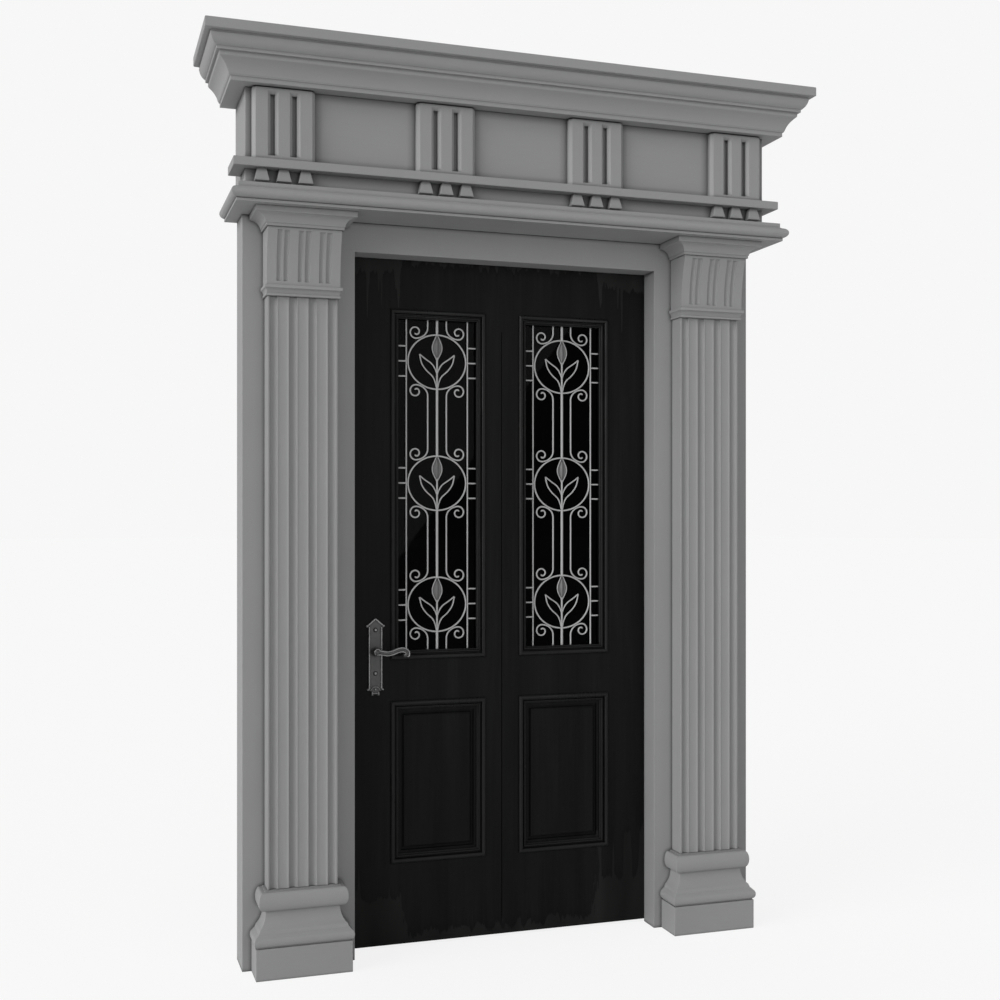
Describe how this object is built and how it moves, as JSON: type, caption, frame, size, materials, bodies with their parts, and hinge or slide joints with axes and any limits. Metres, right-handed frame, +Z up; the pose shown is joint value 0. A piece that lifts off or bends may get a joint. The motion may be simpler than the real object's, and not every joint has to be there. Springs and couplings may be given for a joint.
{
  "type": "door surround",
  "caption": "Classical painted door surround with fluted pilasters and a triglyph entablature, and its hung panelled door with iron grilles.",
  "frame": {"origin": "middle of the back face of the head, where the surround is fixed to the wall over the doorway", "axes": "+X to the right seen from the front, +Y back into the wall, +Z up; the front faces -Y"},
  "size_m": [1.887, 0.3944, 2.667],
  "materials": {
    "grey_paint": "painted timber, satin mid grey",
    "black_paint": "near-black painted timber, slightly worn at the edges",
    "dark_glass": "dark tinted glass",
    "pale_iron": "wrought iron painted light grey",
    "dull_steel": "dull grey cast metal"
  },
  "bodies": {
    "surround": {"jamb_left": "grey_paint", "plinth_left": "grey_paint", "base_left": "grey_paint", "shaft_left": "grey_paint", "necking_left": "grey_paint", "capital_left": "grey_paint", "abacus_left": "grey_paint", "jamb_right": "grey_paint", "plinth_right": "grey_paint", "base_right": "grey_paint", "shaft_right": "grey_paint", "necking_right": "grey_paint", "capital_right": "grey_paint", "abacus_right": "grey_paint", "head": "grey_paint", "architrave_cap": "grey_paint", "frieze": "grey_paint", "taenia": "grey_paint", "cornice": "grey_paint", "triglyph_1": "grey_paint", "triglyph_2": "grey_paint", "triglyph_3": "grey_paint", "triglyph_4": "grey_paint", "gutta_01": "grey_paint", "gutta_02": "grey_paint", "gutta_03": "grey_paint", "gutta_04": "grey_paint", "gutta_05": "grey_paint", "gutta_06": "grey_paint", "gutta_07": "grey_paint", "gutta_08": "grey_paint", "gutta_09": "grey_paint", "gutta_10": "grey_paint", "gutta_11": "grey_paint", "gutta_12": "grey_paint"},
    "leaf": {"stile_left": "black_paint", "stile_right": "black_paint", "rail_top": "black_paint", "rail_lock": "black_paint", "rail_bottom": "black_paint", "muntin_upper": "black_paint", "muntin_lower": "black_paint", "panel_left": "black_paint", "moulding_glazed_left": "black_paint", "moulding_panel_left": "black_paint", "bead_left": "black_paint", "panel_right": "black_paint", "moulding_glazed_right": "black_paint", "moulding_panel_right": "black_paint", "bead_right": "black_paint", "glass_left": "dark_glass", "glass_right": "dark_glass", "grille_left": "pale_iron", "grille_right": "pale_iron", "hinge_upper": "dull_steel", "hinge_lower": "dull_steel", "handle_plate_outside": "dull_steel", "handle_plate_inside": "dull_steel"},
    "lever": {"lever_outside": "dull_steel", "lever_inside": "dull_steel"}
  },
  "joints": [
    {"name": "door_hinge", "type": "hinge", "parent": "surround", "child": "leaf", "pos_m": [0.4995, 0.007, -1.1], "axis": [0, 0, -1], "range_deg": [0, 95]},
    {"name": "lever_turn", "type": "hinge", "parent": "leaf", "child": "lever", "pos_m": [-0.407, -0.043, -1.247], "axis": [0, 1, 0], "range_deg": [0, 45], "stiffness_Nm_per_rad": 2, "springref_deg": -17.19}
  ]
}
